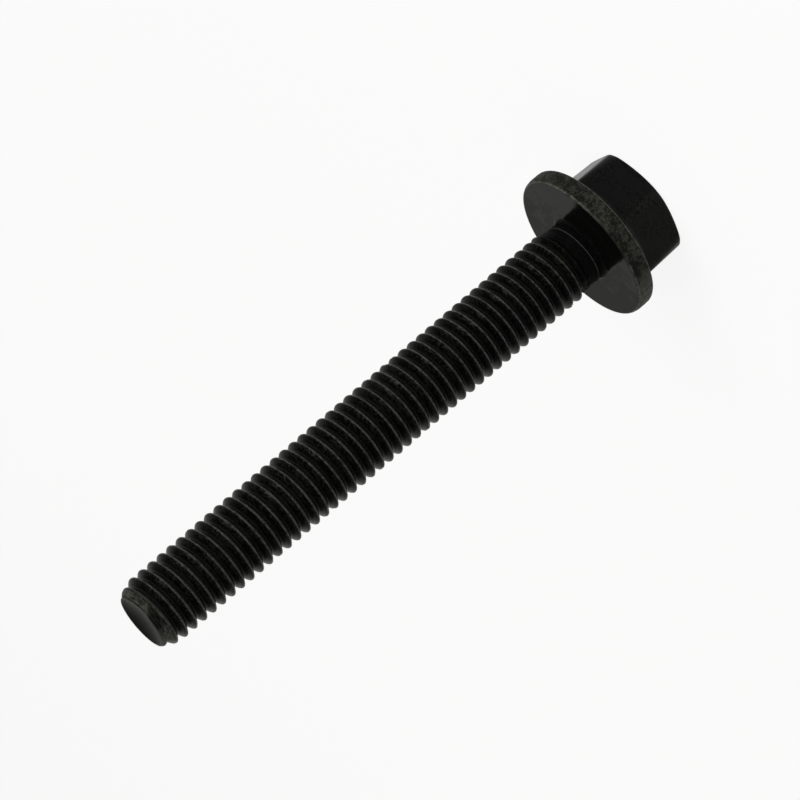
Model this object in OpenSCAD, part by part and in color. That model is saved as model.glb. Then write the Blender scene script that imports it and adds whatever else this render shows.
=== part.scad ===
// Hexagon flange bolt with a full-length right-hand metric thread, M8 x 1.25 x 60.
// It is one cold-forged piece of steel: a hexagon head with a wide bearing flange,
// a short neck and a rolled thread with a bevelled tip.
// The origin is the middle of the bearing face under the flange, and +Z runs along the
// shank to the tip, so the bolt stands on its head. All sizes are in millimetres.

/* [Thread] */
// Outside diameter over the thread crests
thread_d = 7.87; // [7.4:0.01:8]
// Advance of the thread in one turn
pitch = 1.25; // [1.1:0.05:1.5]
// Angle between the two flanks of a thread
flank_angle = 60; // [55:1:65]
// Length from the bearing face to the end of the tip
shank_length = 60; // [30:1:70]
// Diameter of the end face
tip_d = 6; // [5.2:0.1:6.6]
// Angle of the bevel at the tip, from the end face
tip_bevel = 52; // [30:1:65]
// Depth of the shallow cup that rolling leaves in the end face
cup_depth = 0.3; // [0.1:0.05:0.5]
// Width of the flat ring round the cup
cup_land = 0.2; // [0.1:0.05:1]

/* [Neck] */
// Height above the bearing face at which the thread starts to rise
runout_start = 2; // [1.6:0.05:2.6]
// Length over which the thread grows to its full depth
runout_length = 1.9; // [1.2:0.1:4]
// Height of the plain neck above the bearing face
neck_height = 2.2; // [1.8:0.1:3]
// Radius of the fillet between the neck and the bearing face
neck_fillet = 0.5; // [0.2:0.05:0.7]

/* [Flange] */
// Outside diameter of the flange
flange_d = 17.1; // [15.5:0.1:18]
// Thickness of the flange at its rim
flange_rim = 2.15; // [1.2:0.05:2.6]
// Radius of the rim's edge beside the bearing face
rim_lower_radius = 0.15; // [0.1:0.05:0.5]
// Radius of the rim's edge beside the slope
rim_upper_radius = 0.5; // [0.1:0.05:0.6]
// Slope of the flange from the rim up to the hexagon
flange_slope = 24; // [10:1:30]

/* [Head] */
// Width of the hexagon across its flats
hex_width = 12; // [11:0.1:13]
// Width of the hexagon across its corners, at the flange
hex_corner_d = 13.8; // [13.1:0.05:14]
// Angle at which the blunted corners lean in towards the top
corner_lean = 3; // [0:0.5:4]
// Height of the head from the bearing face
head_height = 8.1; // [7:0.1:9]
// Diameter of the flat circle on top of the head
top_d = 11.4; // [10:0.1:11.6]
// Angle of the bevel that rounds the hexagon's corners
top_bevel = 18; // [15:1:30]

/* [Hidden] */
// Flat parts of the thread's section, as rolled
crest_flat = pitch / 8;
root_flat = pitch / 5;
crest_r = thread_d / 2;
flank_run = (pitch - crest_flat - root_flat) / 2;
root_r = crest_r - flank_run / tan(flank_angle / 2);
// The blank is as thick as the pitch line, where ridge and groove are equally wide
neck_r = crest_r - (pitch / 2 - crest_flat) / 2 / tan(flank_angle / 2);
// Depth by which the thread's foot is sunk into the neck
sink = 0.06;
// Steps in one turn of the thread
turn_steps = 24;
// Angle at which a crest crosses the plane of the bearing face
crest_angle = 211;
// Turns that are swept past the tip and then cut off by the bevel
spare_turns = 1.3;
first_step = floor(turn_steps * (runout_start - pitch) / pitch);
last_step = ceil(turn_steps * (shank_length / pitch + spare_turns));
flange_r = flange_d / 2;
tip_r = tip_d / 2;
round_fn = 96;

// Section of one turn: height above the helix and radius, from one crest to the next
section = [
    [-crest_flat / 2, crest_r],
    [crest_flat / 2, crest_r],
    [crest_flat / 2 + flank_run, root_r],
    [pitch - crest_flat / 2 - flank_run, root_r],
];

// Share of the full thread depth at height z
function growth(z) = max(0, min(1, (z - runout_start) / runout_length));

// Radius at height z of a point that has radius r on the full thread
function faded(r, z) = (neck_r - sink) * (1 - growth(z)) + r * growth(z);

// Point j of the section at step i of the helix
function thread_point(i, j) =
    let (
        a = crest_angle + 360 * i / turn_steps,
        z = pitch * i / turn_steps + section[j][0],
        r = faded(section[j][1], z)
    )
    [r * cos(a), r * sin(a), z];

// Number of point j at step i, where point 4 is the first point one turn later
function id(i, j) = j < 4 ? (i - first_step) * 4 + j : (i - first_step + turn_steps) * 4;

module thread_sweep() {
    top_step = last_step + turn_steps;
    points = [for (i = [first_step : top_step], j = [0 : 3]) thread_point(i, j)];
    start_z = thread_point(first_step, 0)[2] - pitch / 4;
    end_z = thread_point(top_step, 0)[2] + pitch / 4;
    count = len(points);
    wall = [
        for (i = [first_step : last_step - 1], j = [0 : 3]) each [
            [id(i, j), id(i, j + 1), id(i + 1, j + 1)],
            [id(i, j), id(i + 1, j + 1), id(i + 1, j)],
        ]
    ];
    start_cap = [
        for (i = [first_step : first_step + turn_steps - 1]) [count, id(i, 0), id(i + 1, 0)],
        for (j = [0 : 3]) [count, id(first_step, j + 1), id(first_step, j)],
    ];
    end_cap = [
        for (i = [last_step : top_step - 1]) [count + 1, id(i + 1, 0), id(i, 0)],
        for (j = [0 : 3]) [count + 1, id(last_step, j), id(last_step, j + 1)],
    ];
    all_points = concat(points, [[0, 0, start_z], [0, 0, end_z]]);
    polyhedron(all_points, concat(wall, start_cap, end_cap), convexity = 10);
}

// Room inside the bevelled and cupped end of the shank
module tip_envelope() {
    wide_r = crest_r + pitch;
    cup_edge_r = tip_r - cup_land;
    cup_r = (pow(cup_edge_r, 2) + pow(cup_depth, 2)) / (2 * cup_depth);
    rotate_extrude($fn = round_fn)
        difference() {
            polygon([
                [0, -head_height],
                [wide_r, -head_height],
                [wide_r, shank_length - (wide_r - tip_r) * tan(tip_bevel)],
                [tip_r, shank_length],
                [0, shank_length],
            ]);
            translate([0, shank_length - cup_depth + cup_r]) circle(r = cup_r, $fn = round_fn);
        }
}

module thread() {
    intersection() {
        thread_sweep();
        tip_envelope();
    }
}

// Plain neck with its fillet, ending in a cone that the first turns grow out of
module neck() {
    cone_r = root_r - pitch / 4;
    rotate_extrude($fn = round_fn)
        difference() {
            polygon([
                [0, -flange_rim / 2],
                [neck_r + neck_fillet, -flange_rim / 2],
                [neck_r + neck_fillet, 0],
                [neck_r + neck_fillet, neck_fillet],
                [neck_r, neck_fillet],
                [neck_r, neck_height],
                [cone_r, neck_height + neck_r - cone_r],
                [0, neck_height + neck_r - cone_r],
            ]);
            translate([neck_r + neck_fillet, neck_fillet]) circle(r = neck_fillet, $fn = round_fn);
        }
}

// Half section of the flange: bearing face, rounded rim and slope
module flange_section() {
    upper = [flange_r - rim_upper_radius, rim_upper_radius - flange_rim];
    lower = [flange_r - rim_lower_radius, -rim_lower_radius];
    crown = upper + rim_upper_radius * [sin(flange_slope), -cos(flange_slope)];
    hub = [hex_width / 3, crown[1] - (crown[0] - hex_width / 3) * tan(flange_slope)];
    polygon([
        [0, 0],
        [lower[0], 0],
        lower,
        [flange_r, lower[1]],
        [flange_r, upper[1]],
        upper,
        crown,
        hub,
        [0, hub[1]],
    ]);
    translate(lower) circle(r = rim_lower_radius, $fn = round_fn);
    translate(upper) circle(r = rim_upper_radius, $fn = round_fn);
}

// Round outline that the hexagon is cut from: it blunts the corners and bevels the top
module head_envelope() {
    corner_r = hex_corner_d / 2;
    top_r = top_d / 2;
    lean_in = (head_height - flange_rim) * tan(corner_lean);
    rotate_extrude($fn = round_fn)
        intersection() {
            polygon([
                [0, -flange_rim / 2],
                [corner_r, -flange_rim / 2],
                [corner_r, -flange_rim],
                [corner_r - lean_in, -head_height],
                [0, -head_height],
            ]);
            polygon([
                [0, 0],
                [top_r + head_height / tan(top_bevel), 0],
                [top_r, -head_height],
                [0, -head_height],
            ]);
        }
}

module hexagon() {
    sharp_corner_r = hex_width / 2 / cos(30);
    intersection() {
        translate([0, 0, -head_height]) rotate(30) cylinder(r = sharp_corner_r, h = head_height, $fn = 6);
        head_envelope();
    }
}

module flange() {
    rotate_extrude($fn = round_fn) flange_section();
}

module bolt() {
    color("#1c1c1b") {
        hexagon();
        flange();
        neck();
        thread();
    }
}

bolt();
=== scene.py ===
# %% [markdown]
# # A black hexagon flange bolt
# The real bolt is one piece of steel: a forged head, a flange that presses on the work, and a
# shank with a thread rolled into it along its whole length. The frame holds the same bolt as an
# engineer would draw it. This script builds a finer skin over it, with soft edges and a smooth
# thread, and gives that skin a black, oiled finish. All helpers work in millimetres and the mesh
# is turned into metres once, at the end.

# %% Load the frame
import math

import bmesh
import bpy
import numpy as np
from mathutils import Matrix, Vector, noise


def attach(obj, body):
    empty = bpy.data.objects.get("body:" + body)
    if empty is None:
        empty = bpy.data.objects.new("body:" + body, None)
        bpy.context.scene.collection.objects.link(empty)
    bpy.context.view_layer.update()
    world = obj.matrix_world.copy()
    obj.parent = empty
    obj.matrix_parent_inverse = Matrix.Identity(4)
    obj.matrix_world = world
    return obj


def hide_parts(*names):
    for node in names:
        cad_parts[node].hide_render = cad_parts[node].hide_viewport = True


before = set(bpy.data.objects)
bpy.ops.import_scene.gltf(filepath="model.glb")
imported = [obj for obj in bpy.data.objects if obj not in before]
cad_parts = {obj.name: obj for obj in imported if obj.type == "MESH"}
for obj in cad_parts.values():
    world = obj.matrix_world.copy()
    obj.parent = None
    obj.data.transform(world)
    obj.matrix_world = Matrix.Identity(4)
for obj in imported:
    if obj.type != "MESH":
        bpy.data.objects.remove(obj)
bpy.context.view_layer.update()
MM = 0.001
print("CAD nodes:", sorted(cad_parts))

# %% [markdown]
# ## Camera
# A camera can be placed by hand until the picture looks right. Here the thread does the
# measuring: crests that are evenly spaced on the bolt crowd together in the picture as the bolt
# runs away from the camera, and that fixes the lens, the tilt and the distance. The bolt stands on
# its head in its own frame, so the camera is turned about its own axis to lay it across the picture.

# %% Place the camera
AIM = Vector((0.157, 0.019, 25.17))
AZIMUTH = math.radians(6.6)
ELEVATION = math.radians(18.0)
ROLL = math.radians(-130.36)
DISTANCE = 399.04
LENS = 180.0
SENSOR = 36.0
CLIP_NEAR = 0.01
CLIP_FAR = 50.0

to_camera = Vector(
    (
        math.sin(AZIMUTH) * math.cos(ELEVATION),
        -math.cos(AZIMUTH) * math.cos(ELEVATION),
        math.sin(ELEVATION),
    )
)
camera_data = bpy.data.cameras.new("camera")
camera_data.lens = LENS
camera_data.sensor_width = SENSOR
camera_data.clip_start = CLIP_NEAR
camera_data.clip_end = CLIP_FAR
camera = bpy.data.objects.new("camera", camera_data)
turn_to_bolt = to_camera.to_track_quat("Z", "Y").to_matrix().to_4x4()
camera.matrix_world = (
    Matrix.Translation((AIM + to_camera * DISTANCE) * MM) @ turn_to_bolt @ Matrix.Rotation(ROLL, 4, "Z")
)
bpy.context.scene.collection.objects.link(camera)
bpy.context.scene.camera = camera
print("Camera at", [round(v, 4) for v in camera.location])

# %% [markdown]
# ## Sizes
# The skin repeats the main sizes of the engineer's model and makes small ones, such as fillets and
# the rounding of the rim, a little finer. A thread is described by its crest, its root and its
# pitch; the neck is as thick as the blank was before rolling, which is between the two.

# %% Sizes in millimetres
PITCH = 1.25
CREST_R = 3.935
FLANK_R = 3.62
ROOT_R = 3.22
NECK_R = 3.529
FLANK_SLOPE = math.tan(math.radians(30.0))
CREST_TURN = 149.0 / 360.0
SHANK_LENGTH = 60.0
TIP_R = 3.04
TIP_SLOPE = math.tan(math.radians(37.5))
CUP_R = 2.8
CUP_DEPTH = 0.38
NECK_FILLET = 0.34
FLANGE_R = 8.55
FLANGE_RIM = 2.15
RIM_LOWER_ROUND = 0.28
RIM_LOWER_HEIGHT = 0.8
RIM_UPPER_ROUND = 0.5
FLANGE_SLOPE = math.tan(math.radians(24.0))
HEX_HALF = 6.0
HEX_DRAFT = math.tan(math.radians(1.0))
HEX_SHIFT = -0.13
CORNER_R = 6.86
CORNER_LEAN = math.tan(math.radians(4.2))
HEAD_HEIGHT = 8.1
TOP_R = 5.7
TOP_SLOPE = math.tan(math.radians(18.0))
print("Turns of thread:", SHANK_LENGTH / PITCH)

# %% [markdown]
# ## Soft joins
# Nothing on a rolled and forged part is truly sharp. Two surfaces can be joined with a fillet by
# a bevel tool, but on a thread there would be thousands of edges to pick. It is simpler to blend
# the two heights: a soft minimum rounds an outer edge and a soft maximum rounds an inner one.

# %% Blend two heights
def smooth_step(low, high, x):
    t = np.clip((x - low) / (high - low), 0.0, 1.0)
    return t * t * (3.0 - 2.0 * t)


def soft_min(a, b, width):
    near = np.clip(1.0 - np.abs(a - b) / width, 0.0, 1.0)
    return np.minimum(a, b) - near * near * width / 4.0


def soft_max(a, b, width):
    return -soft_min(-a, -b, width)


print("Half-way blend of 1 and 1 over 0.2:", soft_min(1.0, 1.0, 0.2))

# %% [markdown]
# ## The form of the shank
# The shank is a round bar whose radius changes with the angle and the height, so one function
# gives its whole form. The thread rises by one pitch in a turn. Near the head the dies leave it
# shallower and shallower until only the blank is left, with a thin lip where they ended, and a
# fillet leads into the flange. At the tip a bevel cuts across the last turns. Rolling is never
# perfect, so a slow noise nicks the crests here and there and makes the run-out lumpy. A pair of
# numbers is the start and the end of a soft change.

# %% Radius of the shank
CREST_ROUND = 0.2
ROOT_ROUND = 0.2
BEVEL_ROUND = 0.9
PITCH_LINE = 0.25
RUNOUT = (2.1, 3.3)
RUNOUT_LUMPS = 0.19
LUMPS_START = (1.4, 2.2)
LUMPS_END = (2.8, 3.6)
NICK_DEPTH = 0.07
NICK_EDGES = (0.3, 0.7)
LIP_HEIGHT = 0.08
LIP_WIDTH = 0.06
LIP_Z = 1.048
LIP_TURN = -0.232
LIP_CLIMB = 0.87
LIP_FADE = (0.0, 0.15)
SAMPLE_TURNS = 24.0


def shank_radius(turn, z, uneven):
    phase = (z / PITCH - turn - CREST_TURN) % 1.0
    off_crest = np.minimum(phase, 1.0 - phase)
    flank = FLANK_R + (PITCH_LINE - off_crest) * PITCH / FLANK_SLOPE
    nicked_crest = CREST_R - NICK_DEPTH * smooth_step(*NICK_EDGES, uneven)
    thread = soft_max(soft_min(flank, nicked_crest, CREST_ROUND), ROOT_R, ROOT_ROUND)
    growth = smooth_step(*RUNOUT, z)
    radius = NECK_R * (1.0 - growth) + thread * growth
    in_runout = smooth_step(*LUMPS_START, z) * (1.0 - smooth_step(*LUMPS_END, z))
    radius = radius + RUNOUT_LUMPS * uneven * in_runout
    half_turn = (turn - LIP_TURN + 0.5) % 1.0 - 0.5
    lip_z = LIP_Z + LIP_CLIMB * half_turn
    lip_share = smooth_step(*LIP_FADE, 0.5 - np.abs(half_turn))
    radius = radius + LIP_HEIGHT * lip_share * np.exp(-(((z - lip_z) / LIP_WIDTH) ** 2))
    into_fillet = np.clip(NECK_FILLET - z, 0.0, NECK_FILLET)
    fillet = NECK_R + NECK_FILLET - np.sqrt(NECK_FILLET**2 - into_fillet**2)
    radius = np.where(z < NECK_FILLET, np.maximum(radius, fillet), radius)
    bevel = TIP_R + TIP_SLOPE * (SHANK_LENGTH - z)
    return soft_min(radius, bevel, BEVEL_ROUND)


crest_z = PITCH * (SAMPLE_TURNS + CREST_TURN)
print("Radius at a crest:", shank_radius(0.0, crest_z, 0.0))
print("Radius at a root:", shank_radius(0.0, crest_z + PITCH / 2, 0.0))

# %% [markdown]
# ## The skin of the shank
# A plain grid of rings would cut across the helix and leave a ragged crest. The grid here winds
# round the bar with the thread, so each row of points stays on the same crest, flank or root from
# end to end. At both ends the rows that would run past are pressed flat against a ring, and points
# that land on one place are made one. To find those, column and height are written as one whole
# number, a key.

# %% Wind the grid round the shank
COLUMNS = 72
HALF_ROWS = (0.025, 0.05, 0.075, 0.1, 0.13, 0.17, 0.23, 0.29, 0.34, 0.39, 0.44)
ROWS = (0.0, *HALF_ROWS, 0.5, *(1.0 - row for row in reversed(HALF_ROWS)))
SPARE_TURNS = 2
LOW_Z = 0.15
END_GAP = 0.07
HIGH_Z = SHANK_LENGTH - END_GAP
SNAP = 0.02
KEY_STEPS = 100_000
KEY_COLUMN = 10_000_000

first_step = -SPARE_TURNS * COLUMNS
last_step = int((SHANK_LENGTH / PITCH + SPARE_TURNS) * COLUMNS)
steps = np.arange(first_step, last_step + COLUMNS + 1)
turns = steps / COLUMNS
grid_z = PITCH * (turns[:, None] + CREST_TURN + np.array(ROWS)[None, :])
grid_z = np.where(grid_z < LOW_Z + SNAP, LOW_Z, grid_z)
grid_z = np.where(grid_z > HIGH_Z - SNAP, HIGH_Z, grid_z)
grid_turn = np.broadcast_to(turns[:, None] % 1.0, grid_z.shape)
grid_column = np.broadcast_to((steps % COLUMNS)[:, None], grid_z.shape)
keys = grid_column * KEY_COLUMN + np.round(grid_z * KEY_STEPS).astype(np.int64)
_, first_seen, point_of = np.unique(keys, return_index=True, return_inverse=True)
point_of = point_of.reshape(grid_z.shape)
shank_turn = grid_turn.ravel()[first_seen]
shank_z = grid_z.ravel()[first_seen]
print("Places on the grid:", grid_z.size, "of which differ:", len(first_seen))

# %% Points and faces of the shank
LUMP_SCALE = 1.1
FINE_SCALE = 2.7
FINE_SHARE = 0.5

points = []
faces = []
angle = 2.0 * math.pi * shank_turn
bar = np.stack((CREST_R * np.cos(angle), CREST_R * np.sin(angle), shank_z), axis=1)
uneven = np.array([noise.noise(Vector(spot) * LUMP_SCALE) for spot in bar])
uneven = uneven + FINE_SHARE * np.array([noise.noise(Vector(spot) * FINE_SCALE) for spot in bar])
shank_r = shank_radius(shank_turn, shank_z, uneven)
points.extend(zip(shank_r * np.cos(angle), shank_r * np.sin(angle), shank_z))
row_count = len(ROWS)
for i in range(last_step - first_step):
    for j in range(row_count):
        up = (i, j + 1) if j + 1 < row_count else (i + COLUMNS, 0)
        far = (i + 1, j + 1) if j + 1 < row_count else (i + 1 + COLUMNS, 0)
        corners = dict.fromkeys((point_of[i, j], point_of[i + 1, j], point_of[far], point_of[up]))
        if len(corners) > 2:
            faces.append([int(c) for c in corners])
print("Shank points and faces:", len(points), len(faces))

# %% [markdown]
# ## Rings for the turned parts
# The rest of the bolt is made of rings round the axis, each joined to the one before it. Two rings
# with the same number of points are joined by quads. Where a coarse ring meets a fine one, on the
# flat bearing face, triangles walk round both in step with the angle. A lathe tool would do the
# round parts, but not the hexagon, whose rings change their outline on the way up.

# %% Ring helpers
def add_ring(angles, radius, z, shift=0.0):
    start = len(points)
    radius = np.broadcast_to(radius, angles.shape)
    z = np.broadcast_to(z, angles.shape)
    points.extend(zip(shift + radius * np.cos(angles), radius * np.sin(angles), z))
    return list(range(start, start + len(angles)))


def join_rings(a, b):
    for k in range(len(a)):
        n = (k + 1) % len(a)
        faces.append([a[k], a[n], b[n], b[k]])


def follow(ring, angles, profile, shift=0.0):
    for radius, z in profile:
        further = add_ring(angles, radius, z, shift)
        join_rings(ring, further)
        ring = further
    return ring


def close_ring(ring, z):
    points.append((0.0, 0.0, z))
    for k in range(len(ring)):
        faces.append([ring[k], ring[(k + 1) % len(ring)], len(points) - 1])


shank_angles = 2.0 * math.pi * np.arange(COLUMNS) / COLUMNS
print("Points in a ring of the shank:", len(shank_angles))

# %% End rings of the shank
ring_key = {}
for number, key in enumerate(zip(np.round(shank_turn * COLUMNS).astype(int), shank_z)):
    ring_key[key] = number
low_ring = [ring_key[(c, LOW_Z)] for c in range(COLUMNS)]
high_ring = [ring_key[(c, HIGH_Z)] for c in range(COLUMNS)]
print("End rings:", len(low_ring), len(high_ring))

# %% [markdown]
# ## Tip and bearing face
# Rolling squeezes the outside of the bar forward, so the end of a rolled thread is a shallow cup
# with a narrow land round it. At the other end the fillet runs out into the bearing face, the
# smooth ring under the flange that presses on the work. Both could be bevelled afterwards; adding
# them as rings keeps the skin closed and puts the points where the curve is tight.

# %% Close the tip
LAND_DROPS = ((3.0, 0.04), (2.97, 0.015), (2.91, 0.0), (2.85, 0.004))
CUP_RINGS = (2.75, 2.6, 2.3, 1.8, 1.2, 0.6)
CUP_BALL = (CUP_R**2 + CUP_DEPTH**2) / (2.0 * CUP_DEPTH)


def cup_drop(radius):
    return CUP_DEPTH - CUP_BALL + math.sqrt(CUP_BALL**2 - radius**2)


end_profile = [(radius, SHANK_LENGTH - drop) for radius, drop in LAND_DROPS]
end_profile += [(radius, SHANK_LENGTH - cup_drop(radius)) for radius in CUP_RINGS]
close_ring(follow(high_ring, shank_angles, end_profile), SHANK_LENGTH - CUP_DEPTH)
print("Rings of the tip:", len(end_profile))

# %% Open out the bearing face
FILLET_STEPS = (55.0, 66.0, 78.0, 90.0)
FILLET_MARGIN = 0.12


def bends(degrees):
    return [(math.cos(math.radians(d)), math.sin(math.radians(d))) for d in degrees]


neck_profile = []
for cosine, sine in bends(FILLET_STEPS):
    neck_profile.append((NECK_R + NECK_FILLET * (1.0 - cosine), NECK_FILLET * (1.0 - sine)))
neck_profile.append((NECK_R + NECK_FILLET + FILLET_MARGIN, 0.0))
neck_ring = follow(low_ring, shank_angles, neck_profile)
print("Points so far:", len(points))

# %% [markdown]
# ## Head
# The head's rings need points close together at the six corners, which are slightly rounded, and
# few along the flats. Each ring then follows the outline of the hexagon or of the round flange.
# A forging die leaves a slight draft on the flats, and the hexagon a hair off the bar's axis.

# %% Outline of the hexagon
SIDES = 6
HALF_SIDE = 180.0 / SIDES
OFF_CORNER = (0.0, 0.8, 1.6, 2.4, 3.2, 4.0, 4.9, 6.0, 7.5, 10.0, 13.5, 18.0, 24.0)
CORNER_ROUND = 0.2
offsets = sorted([-HALF_SIDE] + [-d for d in OFF_CORNER[1:]] + list(OFF_CORNER))
hex_corners = [HALF_SIDE * (2 * k + 1) for k in range(SIDES)]
head_angles = np.radians([corner + d for corner in hex_corners for d in offsets])
off_corner = np.radians(np.abs(np.tile(offsets, SIDES)))
flat_r = HEX_HALF / np.cos(math.radians(HALF_SIDE) - off_corner)


def hex_outline(z):
    above_rim = np.clip(-z - FLANGE_RIM, 0.0, None)
    drafted_r = flat_r * (1.0 - HEX_DRAFT * above_rim / HEX_HALF)
    return soft_min(drafted_r, CORNER_R - CORNER_LEAN * above_rim, CORNER_ROUND)


print("Hexagon across flats:", 2 * flat_r.min())
print("Across corners at the flange:", 2 * hex_outline(-FLANGE_RIM).max())

# %% [markdown]
# ## Flange
# The flange is squeezed out of the bar between two dies, so its rim is not a plain cylinder: it
# swells towards the middle. A bevel tool would round both edges by a circle. Here the edge beside
# the bearing face is a quarter of a tall ellipse, and only the edge beside the slope is a circle.

# %% Join a coarse ring to a fine one
def join_uneven(a, angles_a, b, angles_b):
    end_a = list(angles_a) + [angles_a[0] + 2.0 * math.pi]
    end_b = list(angles_b) + [angles_b[0] + 2.0 * math.pi]
    i = 0
    j = 0
    while i < len(a) or j < len(b):
        here_a = a[i % len(a)]
        here_b = b[j % len(b)]
        if j == len(b) or (i < len(a) and end_a[i + 1] <= end_b[j + 1]):
            faces.append([here_a, a[(i + 1) % len(a)], here_b])
            i += 1
        else:
            faces.append([here_a, b[(j + 1) % len(b)], here_b])
            j += 1


print("Points to join:", len(neck_ring), "and", len(head_angles))

# %% Rings of the flange
FACE_RINGS = (4.6, 5.6, 6.8, 7.8)
FACE_MARGIN = 0.06
RIM_LOWER_STEPS = (90.0, 78.0, 66.0, 54.0, 42.0, 30.0, 15.0, 0.0)
RIM_MIDDLE = (-1.0, -1.3)
RIM_UPPER_STEPS = (0.0, 10.0, 22.0, 34.0, 46.0, 57.0, 66.0)
SLOPE_MARGIN = 0.15

profile = [(radius, 0.0) for radius in FACE_RINGS]
profile.append((FLANGE_R - RIM_LOWER_ROUND - FACE_MARGIN, 0.0))
for cosine, sine in bends(RIM_LOWER_STEPS):
    profile.append((FLANGE_R - RIM_LOWER_ROUND * (1.0 - cosine), -RIM_LOWER_HEIGHT * (1.0 - sine)))
profile += [(FLANGE_R, z) for z in RIM_MIDDLE]
upper_z = RIM_UPPER_ROUND - FLANGE_RIM
for cosine, sine in bends(RIM_UPPER_STEPS):
    profile.append((FLANGE_R - RIM_UPPER_ROUND * (1.0 - cosine), upper_z - RIM_UPPER_ROUND * sine))
slope_r, slope_z = profile[-1]
profile.append((slope_r - SLOPE_MARGIN, slope_z - SLOPE_MARGIN * FLANGE_SLOPE))

face_ring = add_ring(head_angles, *profile[0])
first_angle = int(np.argmin(np.abs(shank_angles - head_angles[0])))
turned = list(range(first_angle, COLUMNS)) + list(range(first_angle))
turned_angles = np.array([shank_angles[k] + (0.0 if k >= first_angle else 2.0 * math.pi) for k in turned])
join_uneven([neck_ring[k] for k in turned], turned_angles, face_ring, head_angles)
slope_ring = follow(face_ring, head_angles, profile[1:])
print("Flange rings:", len(profile))

# %% [markdown]
# ## Hexagon on its cone
# The flange rises as a cone, and the six flats cut into it, so the line where they meet dips in
# the middle of each flat. A small fillet follows that line. On top a bevel cuts the corners back,
# which leaves the curved upper edge that every forged hexagon has. Cutting solids from each other
# would give the same lines, but without the fillets and with a poor mesh along them.

# %% Slopes and bends
def on_slope(radius):
    return slope_z - (slope_r - radius) * FLANGE_SLOPE


def on_bevel(radius):
    return (radius - TOP_R) * TOP_SLOPE - HEAD_HEIGHT


def bend_between(start, corner, end, t):
    a = (1.0 - t) ** 2
    b = 2.0 * t * (1.0 - t)
    c = t**2
    return tuple(a * s + b * k + c * e for s, k, e in zip(start, corner, end))


print("Height of the bevel at a corner:", on_bevel(CORNER_R))

# %% Rings of the hexagon
ROOT_FILLET = 0.35
EDGE_ROUND = 0.22
TOP_ROUND = 0.15
BEND_STEPS = (0.0, 0.25, 0.5, 0.75, 1.0)
WALL_SHARES = (0.04, 0.3, 0.6, 0.94)
TOP_STEPS = (0.35, 0.7, 1.0)
TOP_RINGS = (5.4, 4.0, 2.0)

full = np.ones_like(flat_r)
foot_r = hex_outline(on_slope(hex_outline(-FLANGE_RIM)))
edge_r = hex_outline(on_bevel(hex_outline(-HEAD_HEIGHT)))
low_z = on_slope(foot_r) - ROOT_FILLET
high_z = on_bevel(edge_r) + EDGE_ROUND
slope_end = (foot_r + ROOT_FILLET, on_slope(foot_r + ROOT_FILLET))
foot = (foot_r, on_slope(foot_r))
wall_start = (hex_outline(low_z), low_z)
hex_rings = [bend_between(slope_end, foot, wall_start, t) for t in BEND_STEPS]
for share in WALL_SHARES:
    wall_z = low_z * (1.0 - share) + high_z * share
    hex_rings.append((hex_outline(wall_z), wall_z))
wall_end = (hex_outline(high_z), high_z)
edge = (edge_r, on_bevel(edge_r))
bevel_start = (edge_r - EDGE_ROUND, np.maximum(on_bevel(edge_r - EDGE_ROUND), -HEAD_HEIGHT))
hex_rings += [bend_between(wall_end, edge, bevel_start, t) for t in BEND_STEPS]
top_edge = (TOP_R * full, -HEAD_HEIGHT * full)
top_start = ((TOP_R - TOP_ROUND) * full, -HEAD_HEIGHT * full)
hex_rings += [bend_between(bevel_start, top_edge, top_start, t) for t in TOP_STEPS]
hex_rings += [(r * full, -HEAD_HEIGHT * full) for r in TOP_RINGS]
close_ring(follow(slope_ring, head_angles, hex_rings, HEX_SHIFT), -HEAD_HEIGHT)
print("Points and faces in all:", len(points), len(faces))

# %% [markdown]
# ## One closed skin
# Shank and head share their points, so the bolt is one closed skin, as the real one is one piece.
# Smooth shading would smear light from the round edges over the flats; weighting each corner's
# normal by the size of its faces keeps the flats flat.

# %% Make the bolt
FLAT_WEIGHT = 60
bolt_mesh = bpy.data.meshes.new("flange_bolt")
bolt_mesh.from_pydata([(x * MM, y * MM, z * MM) for x, y, z in points], [], faces)
work = bmesh.new()
work.from_mesh(bolt_mesh)
bmesh.ops.recalc_face_normals(work, faces=work.faces)
open_edges = [e for e in work.edges if len(e.link_faces) != 2]
print("Triangles:", sum(len(f.verts) - 2 for f in work.faces), "open edges:", len(open_edges))
print("Volume in cubic mm:", round(work.calc_volume() / MM**3, 1))
work.to_mesh(bolt_mesh)
work.free()
bolt_mesh.polygons.foreach_set("use_smooth", [True] * len(bolt_mesh.polygons))
bolt = bpy.data.objects.new("flange_bolt", bolt_mesh)
bpy.context.scene.collection.objects.link(bolt)
weighted = bolt.modifiers.new("keep the flats flat", "WEIGHTED_NORMAL")
weighted.mode = "FACE_AREA"
weighted.weight = FLAT_WEIGHT
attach(bolt, "root")
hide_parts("bolt")

# %% [markdown]
# ## Writing a material as sums
# A material is a graph of nodes, and long graphs are hard to read in code. A small wrapper round a
# node's output lets a sum such as `1 - mask` add its own Math node, and one function adds every
# other kind of node. A ramp turns a value into a soft mask, which is 0 at its first number and 1
# at its second, whichever of the two is larger.

# %% A value in a material
class Value:
    def __init__(self, tree, socket):
        self.tree = tree
        self.socket = socket

    def math(self, operation, a, b):
        return node(self.tree, "ShaderNodeMath", {"operation": operation}, {0: a, 1: b})

    def __add__(self, other):
        return self.math("ADD", self, other)

    __radd__ = __add__

    def __mul__(self, other):
        return self.math("MULTIPLY", self, other)

    __rmul__ = __mul__

    def __sub__(self, other):
        return self.math("SUBTRACT", self, other)

    def __rsub__(self, other):
        return self.math("SUBTRACT", other, self)


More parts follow.
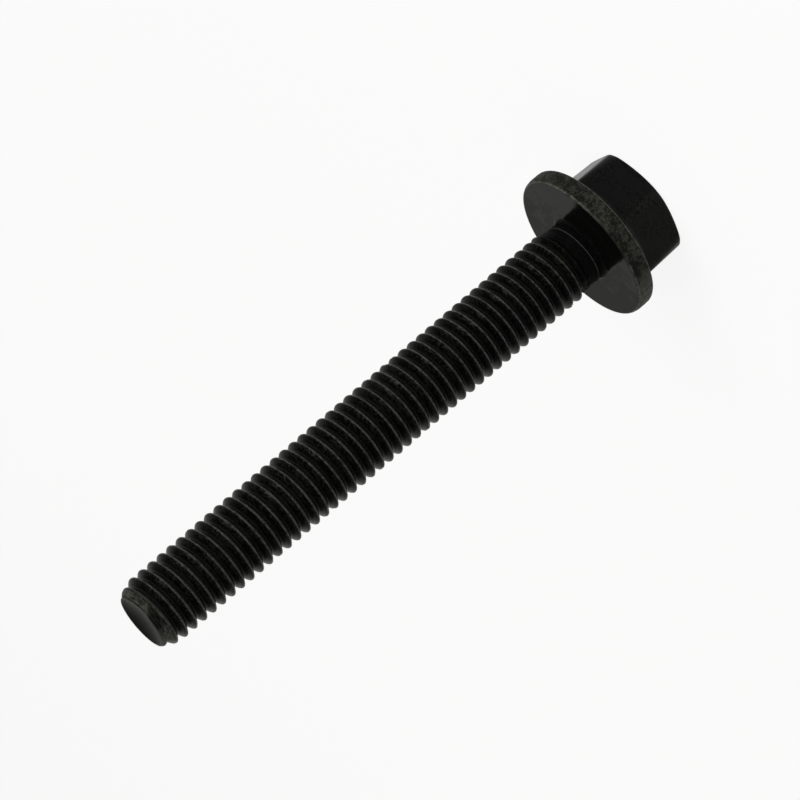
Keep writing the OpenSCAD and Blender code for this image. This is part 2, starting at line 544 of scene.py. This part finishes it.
def node(tree, kind, settings, sockets, output=0):
    made = tree.nodes.new(kind)
    for name, value in settings.items():
        setattr(made, name, value)
    for name, value in sockets.items():
        if isinstance(value, Value):
            tree.links.new(value.socket, made.inputs[name])
        else:
            made.inputs[name].default_value = value
    return Value(tree, made.outputs[output]) if len(made.outputs) else None


print("Operators ready:", [name for name in vars(Value) if name.startswith("__")])

# %% Helpers for masks
def ramp(value, low, high):
    sockets = {"Value": value, "From Min": low, "From Max": high}
    return node(value.tree, "ShaderNodeMapRange", {"interpolation_type": "SMOOTHSTEP"}, sockets)


def between(mask, least, most):
    return least + (most - least) * mask


def distance(value):
    return node(value.tree, "ShaderNodeMath", {"operation": "ABSOLUTE"}, {0: value})


def axis(vector, name):
    return node(vector.tree, "ShaderNodeSeparateXYZ", {}, {0: vector}, name)


print("A plain number between 2 and 4:", between(0.5, 2.0, 4.0))

# %% [markdown]
# ## Black finish
# The steel is blackened in a hot salt bath and oiled. The skin that grows is a thin dark oxide: it
# is nearly black face on, and turns grey where light only brushes it. The forged rim of the flange
# keeps a mottled, scaly grey, and is painted paler on its -X side as if lit from there; the -X side
# of the hexagon is painted lighter too. The bearing face is pressed smooth. Crests that have rubbed
# against other bolts in the bin are a little paler, and a painted highlight lies along them, on the
# lip and on the edges of the rim and the tip; the flank in shade and the roots get painted light. One
# side of the shank is scuffed, the neck is bluer than the rest, and the bevel at the tip is pale
# where it was cut cleanly. Such marks could be painted on an unwrapped skin. Here all of them are
# set by where a point lies on the bolt, which needs no unwrapping and stays right when the mesh
# changes.

# %% Where a point lies
steel = bpy.data.materials.new("black_steel")
steel.use_nodes = True
tree = steel.node_tree
tree.nodes.clear()
place = node(tree, "ShaderNodeTexCoord", {}, {}, "Object")
place_mm = node(tree, "ShaderNodeVectorMath", {"operation": "SCALE"}, {0: place, "Scale": 1.0 / MM})
height = axis(place_mm, "Z")
across = axis(place_mm, "X")
depth = axis(place_mm, "Y")
flat_place = node(tree, "ShaderNodeVectorMath", {"operation": "MULTIPLY"}, {0: place_mm, 1: (1.0, 1.0, 0.0)})
radius = node(tree, "ShaderNodeVectorMath", {"operation": "LENGTH"}, {0: flat_place}, "Value")
turn = node(tree, "ShaderNodeMath", {"operation": "ARCTAN2"}, {0: depth, 1: across}) * (0.5 / math.pi)
wound_turns = height * (1.0 / PITCH) - turn - CREST_TURN
wound = node(tree, "ShaderNodeMath", {"operation": "FRACT"}, {0: wound_turns + (SPARE_TURNS + 0.5)})
past_crest = (wound - 0.5) * PITCH
print("Height, radius and distance past a crest ready")

# %% [markdown]
# ## Zones
# Wear follows the form: crests rub, grooves stay dull, edges lose their skin first. Painted light
# follows it too: a highlight along each crest, light on the flank in shade and on the roots. Each
# zone is a soft mask, and a pair of numbers is one of its edges in millimetres. A pair is a height if
# its name ends in START or END, a radius if it ends in WALL and a place across the bolt if it ends in
# SIDE. SHADE and WIDTH are measured from a crest, and TURN counts turns of the thread or of the bolt.

# %% Zones of the thread
SHANK_FOOT = (0.0, 0.06)
THREAD_START = (2.6, 3.3)
THREAD_END = (59.1, 59.5)
GROOVE_WALL = (3.3, 3.7)
CREST_WALL = (3.5, 3.75)
CREST_LINE = -0.05
CREST_WIDTH = (0.04, 0.12)
ROOT_WALL = (3.25, 3.42)
ROOT_SIDE = (-0.9, 0.4)
ROOT_LEAST = 0.35
NEAR_SHADE = (-0.06, -0.14)
FAR_SHADE = (-0.32, -0.5)
shank_zone = ramp(height, *SHANK_FOOT)
threaded = ramp(height, *THREAD_START) * (1 - ramp(height, *THREAD_END))
groove_zone = shank_zone * (1 - ramp(radius, *GROOVE_WALL))
off_line = distance(past_crest - CREST_LINE)
crest_zone = threaded * ramp(radius, *CREST_WALL) * (1 - ramp(off_line, *CREST_WIDTH))
# Painted highlight on the roots of the thread, stronger towards +X.
root_highlight_zone = threaded * (1 - ramp(radius, *ROOT_WALL)) * between(ramp(across, *ROOT_SIDE), ROOT_LEAST, 1.0)
# The flank that faces the head lies in shade; this mask is where painted light goes onto it.
lightened_shaded_flank = threaded * ramp(past_crest, *NEAR_SHADE) * (1 - ramp(past_crest, *FAR_SHADE))
print("Thread zones ready, nodes:", len(tree.nodes))

# %% Zones of the neck and of the scuffed side
NECK_END = (2.6, 3.6)
LIP_WALL = (3.55, 3.6)
LIP_START = (0.6, 0.7)
LIP_END = (1.6, 1.75)
SCUFF_WALL = (3.55, 3.85)
SCUFF_LOW_SIDE = (1.2, 1.8)
SCUFF_HIGH_SIDE = (2.5, 2.9)
SCUFF_FRONT = (0.0, -1.0)
neck_zone = shank_zone * (1 - ramp(height, *NECK_END))
lip_zone = ramp(radius, *LIP_WALL) * ramp(height, *LIP_START) * (1 - ramp(height, *LIP_END))
scuff_band = ramp(across, *SCUFF_LOW_SIDE) * (1 - ramp(across, *SCUFF_HIGH_SIDE)) * ramp(depth, *SCUFF_FRONT)
scuff_zone = threaded * scuff_band * ramp(radius, *SCUFF_WALL)
print("Neck and scuff zones ready, nodes:", len(tree.nodes))

# %% Zones of the tip
LAST_CREST = 47.0
LAST_TURN = (LAST_CREST + 0.02, LAST_CREST + 0.12)
BEVEL_WALL = (2.96, 3.04)
BEVEL_TURN = (-0.5, -0.46)
CUT_Z = 59.2
CUT_SLANT = 1.4
CUT_SIDE = (1.0, 1.5)
CUT_SHARE = 0.85
WORN_SIDE = (-0.9, -2.1)
WORN_SHARE = 0.9
BEVEL_LEAST = 0.06
END_START = (59.6, 59.68)
END_WALL = (2.85, 2.95)
END_EDGE_START = (59.86, 59.95)
END_EDGE_WALL = (2.7, 2.9)
bevel_zone = ramp(wound_turns, *LAST_TURN) * ramp(radius, *BEVEL_WALL) * ramp(turn, *BEVEL_TURN)
cut_clean = ramp(across + (height - CUT_Z) * CUT_SLANT, *CUT_SIDE)
worn_sides = BEVEL_LEAST + CUT_SHARE * cut_clean + WORN_SHARE * ramp(across, *WORN_SIDE)
end_zone = ramp(height, *END_START) * (1 - ramp(radius, *END_WALL))
end_edge = ramp(height, *END_EDGE_START) * ramp(radius, *END_EDGE_WALL)
print("Tip zones ready, nodes:", len(tree.nodes))

# %% Zones of the head
RIM_WALL = (8.2, 8.3)
RIM_START = (-0.13, -0.03)
LOW_EDGE_WALL = (8.24, 8.32)
LOW_EDGE_START = (-0.26, -0.12)
LOW_EDGE_MIDDLE = -0.5
LOW_EDGE_SIDE = (1.0, 5.0)
LOW_EDGE_LEAST = 0.1
LOW_EDGE_MOST = 0.85
HIGH_EDGE_START = (-2.0, -1.84)
FACE_START = (-0.05, -0.01)
FACE_WALL = (3.7, 3.8)
HEAD_START = (-2.6, -2.3)
CORNER_WALL = (CORNER_R - 0.1, CORNER_R - 0.04)
rim_zone = ramp(radius, *RIM_WALL) * (1 - ramp(height, *RIM_START))
# The pale line on the edge beside the bearing face is weaker near the middle in X and stronger to both sides:
# partly wear, partly a painted highlight.
off_middle = ramp(distance(across - LOW_EDGE_MIDDLE), *LOW_EDGE_SIDE)
rim_low_edge = ramp(radius, *LOW_EDGE_WALL) * ramp(height, *LOW_EDGE_START)
rim_low_edge = rim_low_edge * between(off_middle, LOW_EDGE_LEAST, LOW_EDGE_MOST)
rim_high_edge = rim_zone * (1 - ramp(height, *HIGH_EDGE_START))
bearing_zone = ramp(height, *FACE_START) * (1 - shank_zone) * ramp(radius, *FACE_WALL)
head_zone = 1 - ramp(height, *HEAD_START)
to_corner = radius - (height + FLANGE_RIM) * CORNER_LEAN
corner_zone = head_zone * ramp(to_corner, *CORNER_WALL)
print("Head zones ready, nodes:", len(tree.nodes))

# %% [markdown]
# ## Grain
# No oxide is even. One noise would look like a pattern, so four of them, each coarser than the one
# before, give specks, mottling, patches and a slow change of tint. A fifth is drawn out round the
# bar, as the marks of rolling are. Further on, noises are mixed as sums whose shares make 1.

# %% Noises
GRAIN_ROUGHNESS = 0.6
SPECK_SCALE = 4.2
MOTTLE_SCALE = 2.1
PATCH_SCALE = 0.45
TINT_SCALE = 0.09
STREAKS_ROUND = 2.5
STREAKS_UP = 9.0
STREAKS_OUT = 4.0


def grain(scale, detail, where=place_mm):
    sockets = {"Vector": where, "Scale": scale, "Detail": detail, "Roughness": GRAIN_ROUGHNESS}
    return node(tree, "ShaderNodeTexNoise", {}, sockets)


speck = grain(SPECK_SCALE, detail=3.0)
mottle = grain(MOTTLE_SCALE, detail=4.0)
patch = grain(PATCH_SCALE, detail=2.0)
tint = grain(TINT_SCALE, detail=1.0)
round_bar = node(tree, "ShaderNodeVectorMath", {"operation": "NORMALIZE"}, {0: flat_place})
stretched = node(
    tree,
    "ShaderNodeCombineXYZ",
    {},
    {
        "X": axis(round_bar, "X") * STREAKS_ROUND,
        "Y": axis(round_bar, "Y") * STREAKS_ROUND,
        "Z": height * STREAKS_UP + radius * STREAKS_OUT,
    },
)
streak = grain(1.0, detail=2.0, where=stretched)
print("Grain in mm:", [round(1 / scale, 2) for scale in (SPECK_SCALE, MOTTLE_SCALE, PATCH_SCALE, TINT_SCALE)])

# %% [markdown]
# ## Colours
# Black oxide gives back less than one part in a hundred of the light, so most of these colours are
# very dark, and small steps between them show. In places it leans to olive and in others to blue.
# A single grey would look like paint. Each cell lays colours over the last ones through a zone and
# a noise: EDGES are the levels of the noise between which a colour comes in, and SHARE is how much
# of it there is at most.

# %% Colours of oxide and of bare steel
BLACK = (0.0009, 0.0009, 0.00085, 1.0)
SOOT_OLIVE = (0.0074, 0.0074, 0.0051, 1.0)
SOOT_BLUE = (0.0056, 0.0056, 0.0062, 1.0)
# Lighter olive and darker blue oxide for the head; their difference in lightness is painted light.
HEAD_OLIVE_LIT = (0.0055, 0.0055, 0.0041, 1.0)
HEAD_BLUE_SHADED = (0.0034, 0.0034, 0.0035, 1.0)
# Pale steel, used for real rubbing and also for painted highlights and painted light on the thread.
RUBBED_AND_LIT = (0.052, 0.052, 0.047, 1.0)
PRESSED = (0.0026, 0.0026, 0.0024, 1.0)
SCALE_DARK = (0.0045, 0.0046, 0.0032, 1.0)
SCALE_PALE = (0.0310, 0.0320, 0.0255, 1.0)
# Pale steel for worn edges, also used for painted highlights on edges.
WORN_AND_LIT_EDGE = (0.09, 0.09, 0.08, 1.0)
BARE_END = (0.0025, 0.0026, 0.0020, 1.0)
BEVEL_PALE = (0.044, 0.045, 0.037, 1.0)


def blend_colour(factor, first, second):
    sockets = {"Factor": factor, "A": first, "B": second}
    return node(tree, "ShaderNodeMix", {"data_type": "RGBA"}, sockets, "Result")


print("Palest colour:", WORN_AND_LIT_EDGE[:3])

# %% Colour of the shank
TINT_EDGES = (0.4, 0.6)
SKIN_EDGES = (0.45, 0.59)
NECK_DARKER = 0.6
GROOVE_DARKER = 0.5
FLANK_LIGHT_SHARE = 0.29
ROOT_HIGHLIGHT_SHARE = 0.05
soot = blend_colour(ramp(tint, *TINT_EDGES) * (1 - neck_zone), SOOT_BLUE, SOOT_OLIVE)
skin_tone = ramp(speck * 0.55 + streak * 0.25 + mottle * 0.2, *SKIN_EDGES)
skin_tone = skin_tone * (1 - neck_zone * NECK_DARKER) * (1 - groove_zone * GROOVE_DARKER)
colour = blend_colour(skin_tone, BLACK, soot)
# Painted light: the flank in shade and the roots are lightened towards pale steel.
colour = blend_colour(lightened_shaded_flank * FLANK_LIGHT_SHARE + root_highlight_zone * ROOT_HIGHLIGHT_SHARE, colour, RUBBED_AND_LIT)
print("Oxide on the shank, nodes:", len(tree.nodes))

# %% Wear and painted highlights on the shank
SCUFF_EDGES = (0.49, 0.6)
SCUFF_SHARE = 0.3
CREST_EDGES = (0.4, 0.58)
CREST_LEAST = 0.25
CREST_SHARE = 0.83
LIP_SHARE = 0.75
scuff_tone = ramp(patch * 0.4 + mottle * 0.3 + speck * 0.3, *SCUFF_EDGES)
colour = blend_colour(scuff_zone * scuff_tone * SCUFF_SHARE, colour, RUBBED_AND_LIT)
# Each crest carries a pale line a little towards the head: partly rubbing, partly a painted highlight.
crest_tone = ramp(mottle * 0.5 + speck * 0.3 + patch * 0.2, *CREST_EDGES)
crest_wear_and_highlight = crest_zone * between(crest_tone, CREST_LEAST, 1.0) * CREST_SHARE
colour = blend_colour(crest_wear_and_highlight, colour, RUBBED_AND_LIT)
# The lip left by the dies is paler too, partly rubbed and partly a painted highlight on its ridge.
colour = blend_colour(lip_zone * LIP_SHARE, colour, RUBBED_AND_LIT)
print("Wear on the shank, nodes:", len(tree.nodes))

# %% Colour of the head
LIT_OLIVE_SIDE = (2.0, -1.0)
OLIVE_WANDER = 2.0
FORGED_EDGES = (0.4, 0.58)
FORGED_LEAST = 0.1
LIT_SCALE_SIDE = (-4.5, -7.5)
LIT_SCALE_SHARE = 0.34
DARK_START = (-1.1, -0.3)
DARK_SIDE = (1.0, -0.5)
DARK_SHARE = 0.06
SCALE_EDGES = (0.42, 0.66)
# The -X side of the head is lighter and olive, the +X side darker and bluer: real tint and painted light.
forged_tint_and_light = blend_colour(ramp(across + mottle * OLIVE_WANDER, *LIT_OLIVE_SIDE), HEAD_BLUE_SHADED, HEAD_OLIVE_LIT)
forged_tone = between(ramp(patch * 0.6 + mottle * 0.4, *FORGED_EDGES), FORGED_LEAST, 1.0)
colour = blend_colour(head_zone * forged_tone, colour, forged_tint_and_light)
colour = blend_colour(bearing_zone, colour, PRESSED)
# Painted light: the scaly rim is paler towards -X on top of its real mottling. It is also darker on its -X
# half just beside the bearing face.
scale_and_light_tone = patch * 0.3 + mottle * 0.45 + speck * 0.25 + ramp(across, *LIT_SCALE_SIDE) * LIT_SCALE_SHARE
scale_and_light_tone = scale_and_light_tone - ramp(height, *DARK_START) * ramp(across, *DARK_SIDE) * DARK_SHARE
scale_and_light_colour = blend_colour(ramp(scale_and_light_tone, *SCALE_EDGES), SCALE_DARK, SCALE_PALE)
colour = blend_colour(rim_zone, colour, scale_and_light_colour)
print("Oxide on the head, nodes:", len(tree.nodes))

# %% Wear and painted highlights on the head
RIM_EDGES = (0.2, 0.68)
RIM_SHARE = 0.8
CORNER_EDGES = (0.4, 0.65)
CORNER_SHARE = 0.05
LIT_RIM_SIDE = (-5.0, -7.5)
LIT_RIM_EDGES = (0.4, 0.62)
LIT_RIM_SHARE = 0.5
# The edges of the rim carry wear and a painted highlight; the corners carry wear.
edge_wear_and_highlight = (rim_low_edge + rim_high_edge) * ramp(mottle, *RIM_EDGES) * RIM_SHARE
edge_wear_and_highlight = edge_wear_and_highlight + corner_zone * ramp(mottle, *CORNER_EDGES) * CORNER_SHARE
# Pale patches on the -X side of the rim are painted light from that side, broken up by mottling.
edge_wear_and_highlight = edge_wear_and_highlight + rim_zone * ramp(across, *LIT_RIM_SIDE) * ramp(mottle, *LIT_RIM_EDGES) * LIT_RIM_SHARE
colour = blend_colour(edge_wear_and_highlight, colour, WORN_AND_LIT_EDGE)
print("Wear on the head, nodes:", len(tree.nodes))

# %% Colour of the tip
END_SHARE = 0.8
BEVEL_EDGES = (0.34, 0.6)
STREAK_EDGES = (0.5, 0.62)
STREAK_SHARE = 0.12
END_EDGE_SHARE = 0.5
colour = blend_colour(end_zone * END_SHARE, colour, BARE_END)
bevel_tone = worn_sides * ramp(streak * 0.6 + mottle * 0.4, *BEVEL_EDGES)
bevel_tone = bevel_zone * (bevel_tone + ramp(streak, *STREAK_EDGES) * STREAK_SHARE)
colour = blend_colour(bevel_tone, colour, BEVEL_PALE)
# The land round the end of the tip is paler: partly wear, partly a painted highlight on its rounding.
colour = blend_colour(end_edge * END_EDGE_SHARE, colour, WORN_AND_LIT_EDGE)
print("Colours done, nodes:", len(tree.nodes))

# %% [markdown]
# ## Polish, relief and oil
# What the eye takes for black steel is mostly its gloss. The pressed bearing face is nearly a
# mirror, the neck and the scaly rim are dull. The relief is far too fine for the mesh, so it is a
# bump. The film of oil on the bearing face and on the thread could be a second skin; a coat on the
# same shader is simpler, and its weight makes it thinner here and thicker there.

# %% Polish and relief
BASE_ROUGHNESS = 0.3
SPECK_ROUGHER = 0.1
GROOVE_ROUGHER = 0.1
NECK_ROUGHER = 0.25
RIM_ROUGHER = 0.25
FACE_SMOOTHER = 0.28
FACE_PATCHES = 0.12
HEAD_SMOOTHER = 0.1
SPECK_RELIEF = 0.006
BEVEL_RELIEF = 0.04
SCALE_RELIEF = 0.03
SCALE_SPECK_RELIEF = 0.012
FACE_PRESSED = 0.9
roughness = BASE_ROUGHNESS + SPECK_ROUGHER * speck + GROOVE_ROUGHER * groove_zone
roughness = roughness + NECK_ROUGHER * neck_zone + RIM_ROUGHER * rim_zone
roughness = roughness + bearing_zone * (FACE_PATCHES * patch - FACE_SMOOTHER) - head_zone * HEAD_SMOOTHER
shallow = speck * SPECK_RELIEF + streak * bevel_zone * BEVEL_RELIEF
scaly = (mottle * SCALE_RELIEF + speck * SCALE_SPECK_RELIEF) * rim_zone
relief = (shallow + scaly) * (1 - bearing_zone * FACE_PRESSED)
bump = node(tree, "ShaderNodeBump", {}, {"Strength": 1.0, "Distance": MM, "Height": relief})
print("Relief in mm:", SPECK_RELIEF, "on the shank and", SCALE_RELIEF, "on the rim")

# %% Oil and the finished surface
FILM_ACROSS = 0.012
FILM_DEPTH = 0.016
FILM_EDGES = (0.45, 0.6)
FACE_FILM = 0.29
THREAD_FILM = 0.22
FILM_ROUGHNESS = 0.12
FILM_IOR = 1.15
OXIDE_IOR = 1.13
film_tone = patch * 0.55 + mottle * 0.25 + streak * 0.2 + across * FILM_ACROSS - depth * FILM_DEPTH
oil_film = bearing_zone * ramp(film_tone, *FILM_EDGES) * FACE_FILM + threaded * THREAD_FILM
surface = node(
    tree,
    "ShaderNodeBsdfPrincipled",
    {},
    {
        "Base Color": colour,
        "Roughness": roughness,
        "IOR": OXIDE_IOR,
        "Coat Weight": oil_film,
        "Coat Roughness": FILM_ROUGHNESS,
        "Coat IOR": FILM_IOR,
        "Normal": bump,
    },
)
node(tree, "ShaderNodeOutputMaterial", {}, {"Surface": surface})
bolt_mesh.materials.append(steel)
print("Nodes in the finish:", len(tree.nodes))

# %% [markdown]
# ## Floor and light
# A dark, shiny thing is drawn by what it mirrors. A pale floor and an even, pale sky give every
# grazing face a soft grey edge. One broad lamp stands above, on the camera's side and towards +X,
# and adds a little shape; it is left out of mirror images, where it would show as a bright disc.
# The floor lies just under the head. It is made white by its own light for the camera and in mirror
# images, so no lamp has to be strong enough to bleach it, and the bolt's soft shadow stays on it.

# %% Floor
FLOOR_HALF = 3.0
FLOOR_GAP = 0.02
FLOOR_CORNERS = ((-1.0, -1.0), (1.0, -1.0), (1.0, 1.0), (-1.0, 1.0))
FLOOR_PAPER = (0.9, 0.9, 0.9, 1.0)
FLOOR_WHITE = (1.0, 1.0, 1.0, 1.0)
WHITE_SHARE = 0.88
floor_z = -(HEAD_HEIGHT + FLOOR_GAP) * MM
floor_points = [(x * FLOOR_HALF, y * FLOOR_HALF, floor_z) for x, y in FLOOR_CORNERS]
floor_mesh = bpy.data.meshes.new("floor")
floor_mesh.from_pydata(floor_points, [], [(0, 1, 2, 3)])
floor = bpy.data.objects.new("floor", floor_mesh)
bpy.context.scene.collection.objects.link(floor)
paper = bpy.data.materials.new("white_paper")
paper.use_nodes = True
paper_tree = paper.node_tree
paper_tree.nodes.clear()
lit = node(paper_tree, "ShaderNodeBsdfDiffuse", {}, {"Color": FLOOR_PAPER})
white = node(paper_tree, "ShaderNodeEmission", {}, {"Color": FLOOR_WHITE, "Strength": 1.0})
seen = node(paper_tree, "ShaderNodeLightPath", {}, {}, "Is Camera Ray")
mirrored = node(paper_tree, "ShaderNodeLightPath", {}, {}, "Is Glossy Ray")
through = node(paper_tree, "ShaderNodeLightPath", {}, {}, "Is Transmission Ray")
own_light = (seen + mirrored + through) * WHITE_SHARE
paper_look = node(paper_tree, "ShaderNodeMixShader", {}, {0: own_light, 1: lit, 2: white})
node(paper_tree, "ShaderNodeOutputMaterial", {}, {"Surface": paper_look})
floor_mesh.materials.append(paper)
print("Floor at", floor_z)

# %% Sky
HORIZON = 0.8
ZENITH = 0.14
SKY_RISE = (0.15, 0.7)
SKY_COLOUR = (1.0, 1.0, 0.94, 1.0)
world = bpy.data.worlds.new("sky")
bpy.context.scene.world = world
world.use_nodes = True
sky_tree = world.node_tree
sky_tree.nodes.clear()
aim_up = node(sky_tree, "ShaderNodeTexCoord", {}, {}, "Generated")
level = between(ramp(axis(aim_up, "Z"), *SKY_RISE), HORIZON, ZENITH)
sky = node(sky_tree, "ShaderNodeBackground", {}, {"Color": SKY_COLOUR, "Strength": level})
node(sky_tree, "ShaderNodeOutputWorld", {}, {"Surface": sky})
print("Sky from", HORIZON, "at the horizon to", ZENITH, "overhead")

# %% Lamp
LAMP_SIZE = 1.4
LAMP_ENERGY = 14.0
LAMP_PLACE = Vector((0.58, -0.66, 0.7))
lamp_data = bpy.data.lights.new("soft_lamp", "AREA")
lamp_data.shape = "DISK"
lamp_data.size = LAMP_SIZE
lamp_data.energy = LAMP_ENERGY
lamp = bpy.data.objects.new("soft_lamp", lamp_data)
lamp.visible_glossy = False
lamp.matrix_world = Matrix.Translation(LAMP_PLACE) @ LAMP_PLACE.to_track_quat("Z", "Y").to_matrix().to_4x4()
bpy.context.scene.collection.objects.link(lamp)
bpy.context.scene.view_settings.view_transform = "Standard"
print("Lamp at", [round(v, 2) for v in lamp.location])

# %% [markdown]
# ## Finish
# The view layer is brought up to date once more. The skin has to stay inside the engineer's
# box.

# %% Finish
bpy.context.view_layer.update()
